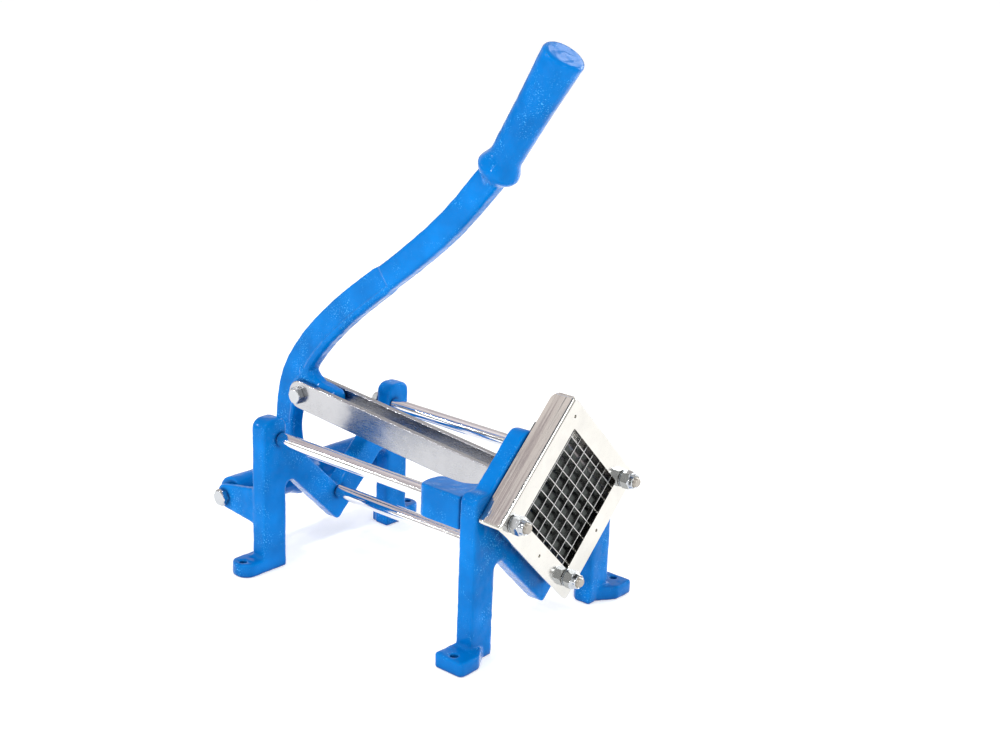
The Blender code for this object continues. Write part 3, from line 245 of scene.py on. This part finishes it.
def add_node(tree, kind, inputs=(), **settings):
    """Adds a node with its settings and its inputs."""
    node = tree.nodes.new(kind)
    node.location = (NODE_COLUMN * len(tree.nodes), 0)
    for name, value in settings.items():
        setattr(node, name, value)
    for name, value in dict(inputs).items():
        set_socket(tree, node, name, value)
    return node


def object_place(tree):
    """The place on the piece, so that a mark moves with it."""
    return add_node(tree, "ShaderNodeTexCoord").outputs["Object"]


def stretched(tree, place, scales):
    """The place with each axis scaled, for marks that run along one way."""
    node = add_node(tree, "ShaderNodeMapping", {"Vector": place, "Scale": scales})
    return node.outputs["Vector"]


def noise(tree, place, scale, detail, roughness):
    inputs = {"Vector": place, "Scale": scale, "Detail": detail, "Roughness": roughness}
    return add_node(tree, "ShaderNodeTexNoise", inputs).outputs["Fac"]


def remap(tree, value, low, high, to_low=0.0, to_high=1.0):
    inputs = {"Value": value, "From Min": low, "From Max": high, "To Min": to_low, "To Max": to_high}
    return add_node(tree, "ShaderNodeMapRange", inputs).outputs["Result"]


def bump(tree, height, distance, strength, normal=None):
    inputs = {"Height": height, "Distance": distance, "Strength": strength}
    if normal is not None:
        inputs["Normal"] = normal
    return add_node(tree, "ShaderNodeBump", inputs).outputs["Normal"]


def mixed(tree, share, first, second):
    """One colour passing into another. The colour sockets of a Mix node are found by number."""
    return add_node(tree, "ShaderNodeMix", {0: share, 6: first, 7: second}, data_type="RGBA").outputs[2]


def math_node(tree, operation, first, second):
    return add_node(tree, "ShaderNodeMath", {0: first, 1: second}, operation=operation).outputs[0]


def product(tree, first, second):
    return math_node(tree, "MULTIPLY", first, second)


def likeness(tree, first, second):
    """How far two directions agree, 1 where they are the same."""
    dot = add_node(tree, "ShaderNodeVectorMath", {0: first, 1: second}, operation="DOT_PRODUCT")
    return dot.outputs["Value"]


def edge_share(tree, radius):
    """1 along edges that a bevel of this radius would round, 0 on flat faces."""
    soft = add_node(tree, "ShaderNodeBevel", {"Radius": radius}, samples=EDGE_SAMPLES).outputs["Normal"]
    flat = add_node(tree, "ShaderNodeNewGeometry").outputs["Normal"]
    return remap(tree, likeness(tree, soft, flat), *EDGE_BEND)


def new_material(name):
    material = bpy.data.materials.new(name)
    material.use_nodes = True
    return material, material.node_tree, material.node_tree.nodes["Principled BSDF"]


def enamel():
    """Thick glossy blue paint over a rough casting, with painted highlights along its edges and on light
    specks, and painted shade in its hollows.
    """
    material, tree, shader = new_material("enamel_blue")
    place = object_place(tree)
    peel = noise(tree, place, *PEEL_NOISE)
    lumps = noise(tree, place, *LUMP_NOISE)
    grit = noise(tree, place, *GRIT_NOISE)
    rough = remap(tree, noise(tree, place, *ROUGH_NOISE), *ROUGH_RANGE)
    grit_distance, grit_strength = GRIT_BUMP
    normal = bump(tree, lumps, *LUMP_BUMP)
    normal = bump(tree, peel, *PEEL_BUMP, normal)
    normal = bump(tree, grit, grit_distance, product(tree, rough, grit_strength), normal)
    edge = edge_share(tree, EDGE_HIGHLIGHT_RADIUS)
    thick = remap(tree, noise(tree, place, *THICKNESS_NOISE), *THICKNESS_RANGE)
    paint = mixed(tree, thick, THIN_PAINT, THICK_PAINT)
    # The edges are mixed towards a lighter blue: a painted highlight
    paint = mixed(tree, product(tree, edge, EDGE_HIGHLIGHT_SHARE), paint, PAINTED_EDGE_HIGHLIGHT)
    # Hollows and inner corners are darkened towards a dark blue: painted shade
    for reach, open_share, shut_share, most in PAINTED_SHADE_HOLLOWS:
        hollow = add_node(tree, "ShaderNodeAmbientOcclusion", {"Distance": reach}, samples=PAINTED_SHADE_SAMPLES)
        painted_shade = remap(tree, hollow.outputs["AO"], open_share, shut_share, 0.0, most)
        paint = mixed(tree, painted_shade, paint, PAINTED_HOLLOW_SHADE)
    # Specks at the grit's peaks are mixed towards light azure: painted highlights
    painted_sparkle = remap(tree, grit, *SPARKLE_RANGE, 0.0, SPARKLE_SHARE)
    paint = mixed(tree, product(tree, painted_sparkle, rough), paint, PAINTED_SPARKLE)
    set_socket(tree, shader, "Base Color", paint)
    set_socket(tree, shader, "Roughness", remap(tree, peel, *MIDDLE_RANGE, *PAINT_ROUGHNESS))
    shader.inputs["Specular IOR Level"].default_value = 0.0
    facing = add_node(tree, "ShaderNodeLayerWeight", {"Blend": 0.5}).outputs["Facing"]
    set_socket(tree, shader, "Coat Weight", remap(tree, facing, *COAT_FACING, *COAT_WEIGHT))
    shader.inputs["Coat Roughness"].default_value = COAT_ROUGHNESS
    shader.inputs["Coat IOR"].default_value = COAT_IOR
    set_socket(tree, shader, "Normal", normal)
    set_socket(tree, shader, "Coat Normal", normal)
    return material


def metal(name, tint, roughness, spread, grain, depth, haze, wave):
    """Bare metal with grinding marks and smudges, and with slow waves where it is rolled."""
    material, tree, shader = new_material(name)
    place = object_place(tree)
    marks = noise(tree, stretched(tree, place, grain), *MARK_NOISE)
    smudge = noise(tree, place, SMUDGE_SCALE, haze, SMUDGE_NOISE_ROUGHNESS)
    normal = bump(tree, marks, depth, MARK_STRENGTH)
    if wave:
        rolled = noise(tree, stretched(tree, place, wave), *WAVE_NOISE)
        normal = bump(tree, rolled, *WAVE_BUMP, normal)
    dull_tint = tuple(part * DULL_TINT for part in tint)
    dull = remap(tree, smudge, *SMUDGE_COLOR_RANGE, 0.0, DULL_SHARE)
    set_socket(tree, shader, "Base Color", mixed(tree, dull, (*tint, 1), (*dull_tint, 1)))
    wear_and_tip_highlight = remap(tree, marks, *MIDDLE_RANGE, roughness, roughness + spread)
    cloudy = remap(tree, smudge, *SMUDGE_GLOSS_RANGE, 0.0, spread)
    set_socket(tree, shader, "Roughness", math_node(tree, "ADD", wear_and_tip_highlight, cloudy))
    shader.inputs["Metallic"].default_value = 1.0
    set_socket(tree, shader, "Normal", normal)
    return material


def head_grey():
    """The dark coated pusher head, with painted highlights on its sharp edges and on the finger ends that
    face +X.
    """
    material, tree, shader = new_material("head_grey")
    place = object_place(tree)
    grit = noise(tree, place, *HEAD_GRIT_NOISE)
    patch = noise(tree, place, *HEAD_PATCH_NOISE)
    edge = edge_share(tree, HEAD_EDGE_HIGHLIGHT_RADIUS)
    normal = add_node(tree, "ShaderNodeTexCoord").outputs["Normal"]
    tip = add_node(tree, "ShaderNodeSeparateXYZ", {"Vector": normal}).outputs["X"]
    patchy = remap(tree, patch, *PATCH_RANGE)
    base = mixed(tree, patchy, *HEAD_COLORS)
    wear_and_tip_highlight = mixed(tree, patchy, *HEAD_TIP_HIGHLIGHT_COLORS)
    # The finger ends that face +X are made lighter by their normal: a painted highlight
    base = mixed(tree, remap(tree, tip, *HEAD_TIP_HIGHLIGHT_RANGE), base, wear_and_tip_highlight)
    # The sharp edges are mixed towards a lighter grey: a painted highlight
    base = mixed(tree, product(tree, edge, HEAD_EDGE_HIGHLIGHT_SHARE), base, HEAD_EDGE_HIGHLIGHT_COLOR)
    set_socket(tree, shader, "Base Color", base)
    set_socket(tree, shader, "Roughness", remap(tree, grit, *MIDDLE_RANGE, *HEAD_ROUGHNESS))
    set_socket(tree, shader, "Normal", bump(tree, grit, *HEAD_GRIT_BUMP))
    return material


def insert():
    """The pale plastic ring inside a lock nut."""
    material, tree, shader = new_material("nut_insert")
    place = object_place(tree)
    tone = remap(tree, noise(tree, place, *INSERT_NOISE), *MIDDLE_RANGE)
    set_socket(tree, shader, "Base Color", mixed(tree, tone, *INSERT_COLORS))
    shader.inputs["Roughness"].default_value = INSERT_ROUGHNESS
    return material


def make_materials():
    metals = {key: metal(*values) for key, values in METALS.items()}
    return {"blue_enamel": enamel(), **metals, "grey_head": head_grey(), "insert": insert()}


def paint_for(node):
    """The material of a CAD node, from its name."""
    if node in CASTINGS:
        return "blue_enamel"
    if node.startswith("guide_rod"):
        return "chrome"
    if node in ("link_near", "link_far"):
        return "link"
    if node in ("blade_holder", "blade_frame"):
        return "sheet"
    if node.startswith("blade"):
        return "blade"
    if node == "pusher_head":
        return "grey_head"
    return "zinc"


def soften(casting, voxel, steps, lump):
    """Rounds a casting's edges and inner corners, as the mould and the paint do."""
    remesh = casting.modifiers.new("cast_skin", "REMESH")
    remesh.mode = "VOXEL"
    remesh.voxel_size = voxel
    remesh.use_smooth_shade = True
    smooth = casting.modifiers.new("cast_rounding", "SMOOTH")
    smooth.factor = CASTING_SMOOTH
    smooth.iterations = steps
    lumps = bpy.data.textures.new("sand_lumps", "CLOUDS")
    lumps.noise_scale = LUMP_SIZE
    lumps.noise_depth = 1
    sand = casting.modifiers.new("cast_sand", "DISPLACE")
    sand.texture = lumps
    sand.texture_coords = "LOCAL"
    sand.strength = lump
    sand.mid_level = LUMP_MIDDLE


def smooth_shading():
    """A node group that shades a piece smooth but for its sharp edges."""
    group = bpy.data.node_groups.new("soft_shading", "GeometryNodeTree")
    group.interface.new_socket("Geometry", in_out="INPUT", socket_type="NodeSocketGeometry")
    group.interface.new_socket("Geometry", in_out="OUTPUT", socket_type="NodeSocketGeometry")
    source = group.nodes.new("NodeGroupInput").outputs[0]
    plain = add_node(group, "GeometryNodeRemoveAttribute", {"Geometry": source, "Name": "custom_normal"})
    soft = add_node(group, "GeometryNodeSetShadeSmooth", {0: plain.outputs[0]}, domain="FACE")
    angle = add_node(group, "GeometryNodeInputMeshEdgeAngle").outputs[0]
    inputs = {0: angle, 1: SHARP_ANGLE}
    sharp = add_node(group, "FunctionNodeCompare", inputs, data_type="FLOAT", operation="GREATER_THAN")
    crisp = add_node(group, "GeometryNodeSetShadeSmooth", {0: soft.outputs[0], 1: sharp.outputs[0], 2: False})
    crisp.domain = "EDGE"
    group.links.new(crisp.outputs[0], group.nodes.new("NodeGroupOutput").inputs[0])
    return group


def round_edges(piece, width, shading):
    """Joins a piece's loose faces, rounds its sharp edges by this width and shades it smooth between them."""
    weld = piece.modifiers.new("joined_skin", "WELD")
    weld.merge_threshold = WELD_REACH
    if width:
        bevel = piece.modifiers.new("edge_rounding", "BEVEL")
        bevel.width = width
        bevel.segments = BEVEL_STEPS
        bevel.limit_method = "ANGLE"
        bevel.angle_limit = SHARP_ANGLE
    nodes = piece.modifiers.new("soft_shading", "NODES")
    nodes.node_group = shading
    flat = piece.modifiers.new("flat_faces", "WEIGHTED_NORMAL")
    flat.keep_sharp = True


def dress(frame, materials):
    """Gives each CAD node its material and its surface."""
    shading = smooth_shading()
    for name, node in frame["nodes"].items():
        node.data.materials.clear()
        node.data.materials.append(materials[paint_for(name)])
        if name == "lever":
            soften(node, LEVER_VOXEL, LEVER_SMOOTH_STEPS, LEVER_LUMP_HEIGHT)
        elif name in CASTINGS:
            soften(node, CASTING_VOXEL, CASTING_SMOOTH_STEPS, LUMP_HEIGHT)
        elif name in ("link_near", "link_far"):
            round_edges(node, LINK_BEVEL, shading)
        elif name == "pusher_head":
            round_edges(node, FINGER_BEVEL, shading)
        elif name == "blade_holder" or name.startswith(("link_pin", "pusher_screw")):
            round_edges(node, SMALL_BEVEL, shading)
        elif name == "blade_frame":
            round_edges(node, 0, shading)


# Turned and threaded pieces, which stand for the plain solids of the same names


def round_reach(radius):
    """A round ring's reach, the same at each angle."""
    return lambda angle, along: radius


def hex_reach(cone):
    """A hexagon's reach at each angle, held inside a cone of this radius."""
    sixth = math.radians(60)
    return lambda angle, along: min(HEX_FLATS / 2 / math.cos(angle % sixth - sixth / 2), cone)


def thread_reach(end, sign):
    """A screw thread's reach, drawn in over the chamfer at its free end."""

    def reach(angle, along):
        turn = (along / THREAD_PITCH - angle / math.tau) % 1
        crest = 1 - abs(turn * 2 - 1)
        free = max(0.0, STUD_CHAMFER - (end - along) * sign)
        return min(THREAD_ROOT + (THREAD_TOP - THREAD_ROOT) * crest, THREAD_TOP - free)

    return reach


def thread_rings(start, end, sign, paint):
    """Rings of a thread between two distances along its axis; sign tells which one is the free end."""
    free = end if sign > 0 else start
    count = math.ceil((end - start) / THREAD_PITCH * THREAD_RINGS)
    return [(thread_reach(free, sign), start + (end - start) * i / count, paint) for i in range(count + 1)]


def hex_rings(low, high, low_cone, high_cone):
    """A hexagon between two faces, each chamfered by a cone unless it is left square."""
    face = HEX_FLATS / 2 * HEX_FACE_SHARE
    run = (HEX_FLATS / math.sqrt(3) - face) / CONE_SLOPE
    depths = [run * step / CONE_STEPS for step in range(CONE_STEPS + 1)]
    rings = [(hex_reach(HEX_FLATS), low, 0)]
    if low_cone:
        rings = [(hex_reach(face + CONE_SLOPE * depth), low + depth, 0) for depth in depths]
    if high_cone:
        return rings + [(hex_reach(face + CONE_SLOPE * depth), high - depth, 0) for depth in depths[::-1]]
    return rings + [(hex_reach(HEX_FLATS), high, 0)]


def lathe(name, rings, place, direction, materials, closed=False):
    """Joins rings of (reach, distance along, material) about an axis, capped or closed on themselves."""
    mesh = bpy.data.meshes.new(name)
    turn = Vector(direction).to_track_quat("Z", "Y").to_matrix()
    points, faces, paints = [], [], []
    for reach, along, _ in rings:
        for step in range(LATHE_STEPS):
            angle = math.tau * step / LATHE_STEPS
            r = reach(angle, along)
            points.append(place + turn @ Vector((r * math.cos(angle), r * math.sin(angle), along)))
    count = len(rings)
    for i in range(count if closed else count - 1):
        here, beyond = i * LATHE_STEPS, (i + 1) % count * LATHE_STEPS
        for step in range(LATHE_STEPS):
            ahead = (step + 1) % LATHE_STEPS
            faces.append((here + step, here + ahead, beyond + ahead, beyond + step))
            paints.append(rings[(i + 1) % count][2])
    if not closed:
        faces.append(tuple(range(LATHE_STEPS))[::-1])
        faces.append(tuple(range((count - 1) * LATHE_STEPS, count * LATHE_STEPS)))
        paints += [rings[0][2], rings[-1][2]]
    mesh.from_pydata(points, [], faces)
    for face, paint in zip(mesh.polygons, paints):
        face.material_index = paint
    for material in materials:
        mesh.materials.append(material)
    work = bmesh.new()
    work.from_mesh(mesh)
    bmesh.ops.recalc_face_normals(work, faces=work.faces)
    work.to_mesh(mesh)
    work.free()
    mesh.shade_smooth()
    mesh.set_sharp_from_angle(angle=SHARP_ANGLE)
    made = bpy.data.objects.new(name, mesh)
    bpy.context.scene.collection.objects.link(made)
    return made


def stand_for(piece, node, body):
    """Puts a piece in the place of a CAD node, on its body."""
    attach(piece, body)
    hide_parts(node)


def middle(low, high):
    return (Vector(low) + Vector(high)) / 2


def make_rod(which, materials):
    """A guide rod: a polished bar between two studs, each threaded at its end."""
    low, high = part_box(f"guide_rod_{which}")
    centre = middle(low, high)
    length = high[0] - low[0]
    radius = (high[1] - low[1]) / 2
    bar, rim, root = round_reach(radius), round_reach(radius - BAR_CHAMFER), round_reach(THREAD_ROOT)
    rings = [
        *thread_rings(0.0, THREAD_SHOWN, -1, 1),
        (root, THREAD_SHOWN, 0),
        (root, BAR_START, 0),
        (rim, BAR_START, 0),
        (bar, BAR_START + BAR_CHAMFER, 0),
        (bar, BAR_END - BAR_CHAMFER, 0),
        (rim, BAR_END, 0),
        (root, BAR_END, 0),
        *thread_rings(length - THREAD_SHOWN, length, 1, 1),
    ]
    place = Vector((low[0], centre.y, centre.z))
    paints = [materials["chrome"], materials["thread"]]
    piece = lathe(f"polished_rod_{which}", rings, place, (1, 0, 0), paints)
    stand_for(piece, f"guide_rod_{which}", "frame")


def make_lock_nut(which, materials):
    """A flanged hexagon with a round collar that is turned in over its insert."""
    low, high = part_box(f"front_nut_{which}")
    rod_low, rod_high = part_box(f"guide_rod_{which}")
    centre = middle(rod_low, rod_high)
    height = high[0] - low[0]
    bore = round_reach(NUT_BORE)
    base, collar = round_reach(BASE_RADIUS), round_reach(COLLAR_RADIUS)
    shrink = (COLLAR_RADIUS - COLLAR_LIP) / 2
    rings = [
        (bore, 0.0, 0),
        (round_reach(BASE_RADIUS - SMALL_BEVEL), 0.0, 0),
        (base, SMALL_BEVEL / 2, 0),
        (base, BASE_HEIGHT - SMALL_BEVEL / 2, 0),
        *hex_rings(BASE_HEIGHT, LOCK_HEX_TOP, True, True),
        (round_reach(COLLAR_RADIUS + SMALL_BEVEL / 2), LOCK_HEX_TOP, 0),
        (collar, LOCK_HEX_TOP + SMALL_BEVEL, 0),
        (collar, height - shrink * 2, 0),
        (round_reach(COLLAR_RADIUS - shrink / 2), height - shrink / 2, 0),
        (round_reach(COLLAR_LIP + shrink), height, 0),
        (round_reach(COLLAR_LIP), height - SMALL_BEVEL / 2, 0),
        (round_reach(COLLAR_LIP), height - INSERT_DEPTH, 0),
        (round_reach(THREAD_TOP), height - INSERT_DEPTH, 1),
        (bore, height - INSERT_DEPTH * 3, 1),
    ]
    place = Vector((low[0], centre.y, centre.z))
    paints = [materials["zinc"], materials["insert"]]
    piece = lathe(f"lock_nut_{which}", rings, place, (1, 0, 0), paints, closed=True)
    stand_for(piece, f"front_nut_{which}", "frame")


def make_plain_nut(node, body, direction, materials):
    low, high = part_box(node)
    centre = middle(low, high)
    axis = Vector(direction)
    height = abs((Vector(high) - Vector(low)).dot(axis))
    bore = round_reach(NUT_BORE)
    rings = [(bore, 0.0, 0), *hex_rings(0.0, height, True, True), (bore, height, 0)]
    place = centre - axis * height / 2
    piece = lathe(f"turned_{node}", rings, place, direction, [materials["zinc"]], closed=True)
    stand_for(piece, node, body)


def make_bolt(node, body, materials):
    """A bolt along y with its head at the low end."""
    low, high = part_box(node)
    centre = middle(low, high)
    length = high[1] - low[1]
    shank = round_reach(THREAD_TOP)
    rings = [
        (round_reach(HEX_FLATS / 2 * HEX_FACE_SHARE - SMALL_BEVEL), 0.0, 0),
        *hex_rings(0.0, BOLT_HEAD_HEIGHT, True, False),
        (shank, BOLT_HEAD_HEIGHT, 0),
        (shank, length - THREAD_SHOWN * 2, 0),
        *thread_rings(length - THREAD_SHOWN * 2, length, 1, 0),
    ]
    place = Vector((centre.x, low[1], centre.z))
    piece = lathe(f"turned_{node}", rings, place, (0, 1, 0), [materials["zinc"]])
    stand_for(piece, node, body)


def make_hardware(materials):
    for which in ("near", "far", "bottom"):
        make_rod(which, materials)
        make_lock_nut(which, materials)
        make_plain_nut(f"rear_nut_{which}", "frame", (-1, 0, 0), materials)
    make_plain_nut("pivot_nut", "frame", (0, 1, 0), materials)
    make_plain_nut("link_nut", "lever", (0, 1, 0), materials)
    make_bolt("pivot_bolt", "frame", materials)
    make_bolt("link_bolt", "lever", materials)


# Stage


def plane(name, half):
    mesh = bpy.data.meshes.new(name)
    corners = [(-half, -half, 0), (half, -half, 0), (half, half, 0), (-half, half, 0)]
    mesh.from_pydata(corners, [], [(0, 1, 2, 3)])
    made = bpy.data.objects.new(name, mesh)
    bpy.context.scene.collection.objects.link(made)
    return made


def make_floor():
    material, tree, shader = new_material("floor_pale")
    shader.inputs["Base Color"].default_value = (*FLOOR_COLOR, 1)
    shader.inputs["Roughness"].default_value = FLOOR_ROUGHNESS
    shader.inputs["Emission Color"].default_value = (1, 1, 1, 1)
    shader.inputs["Emission Strength"].default_value = FLOOR_GLOW
    floor = plane("floor", FLOOR_HALF)
    floor.data.materials.append(material)


def ramp(tree, value, stops):
    """A colour that changes along a value, as (value, colour) stops."""
    node = add_node(tree, "ShaderNodeValToRGB", {"Fac": value})
    elements = node.color_ramp.elements
    while len(elements) < len(stops):
        elements.new(0.5)
    for element, (position, color) in zip(elements, stops):
        element.position = position
        element.color = (*color, 1)
    return node.outputs["Color"]


def card(tree, place, aim, edge):
    """1 inside a round card that hangs in this direction, 0 outside it."""
    return remap(tree, likeness(tree, place, aim.normalized()), *edge)


def make_sky():
    """A pale room, with streaks of shade behind the cutter so that polished metal has something to show."""
    world = bpy.data.worlds.new("studio")
    world.use_nodes = True
    tree = world.node_tree
    place = add_node(tree, "ShaderNodeTexCoord").outputs["Generated"]
    parts = add_node(tree, "ShaderNodeSeparateXYZ", {"Vector": place})
    behind = remap(tree, parts.outputs["X"], *BEHIND_EDGE)
    streaks = ramp(tree, parts.outputs["Z"], STREAKS)
    plain = ramp(tree, parts.outputs["Z"], PLAIN)
    room = mixed(tree, behind, plain, streaks)
    room = mixed(tree, card(tree, place, CARD_AIM, CARD_EDGE), room, CARD_COLOR)
    room = mixed(tree, card(tree, place, BRIGHT_AIM, BRIGHT_EDGE), room, BRIGHT_COLOR)
    background = tree.nodes["Background"]
    tree.links.new(room, background.inputs["Color"])
    background.inputs["Strength"].default_value = SKY_STRENGTH
    bpy.context.scene.world = world


def make_lights():
    for name, place, size, power in LIGHTS:
        data = bpy.data.lights.new(name, "AREA")
        data.shape = "DISK"
        data.size = size
        data.energy = power
        lamp = bpy.data.objects.new(name, data)
        lamp.location = place
        lamp.rotation_mode = "QUATERNION"
        lamp.rotation_quaternion = (LIGHT_AIM - Vector(place)).to_track_quat("-Z", "Y")
        bpy.context.scene.collection.objects.link(lamp)


def make_camera():
    data = bpy.data.cameras.new("camera")
    data.lens = CAMERA_LENS
    data.sensor_width = SENSOR_WIDTH
    camera = bpy.data.objects.new("camera", data)
    level = math.cos(CAMERA_ELEVATION)
    right = Vector((math.cos(CAMERA_AZIMUTH), math.sin(CAMERA_AZIMUTH), 0))
    look = Vector((-right.y * level, right.x * level, -math.sin(CAMERA_ELEVATION)))
    up = right.cross(look)
    across = right * math.cos(CAMERA_ROLL) + up * math.sin(CAMERA_ROLL)
    above = up * math.cos(CAMERA_ROLL) - right * math.sin(CAMERA_ROLL)
    turn = Matrix((across, above, -look)).transposed()
    camera.matrix_world = Matrix.Translation(CAMERA_PLACE) @ turn.to_4x4()
    bpy.context.scene.collection.objects.link(camera)
    bpy.context.scene.camera = camera


def main():
    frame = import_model()
    bpy.context.scene.view_settings.view_transform = "Standard"
    make_camera()
    make_sky()
    make_lights()
    make_floor()
    materials = make_materials()
    dress(frame, materials)
    make_hardware(materials)


main()
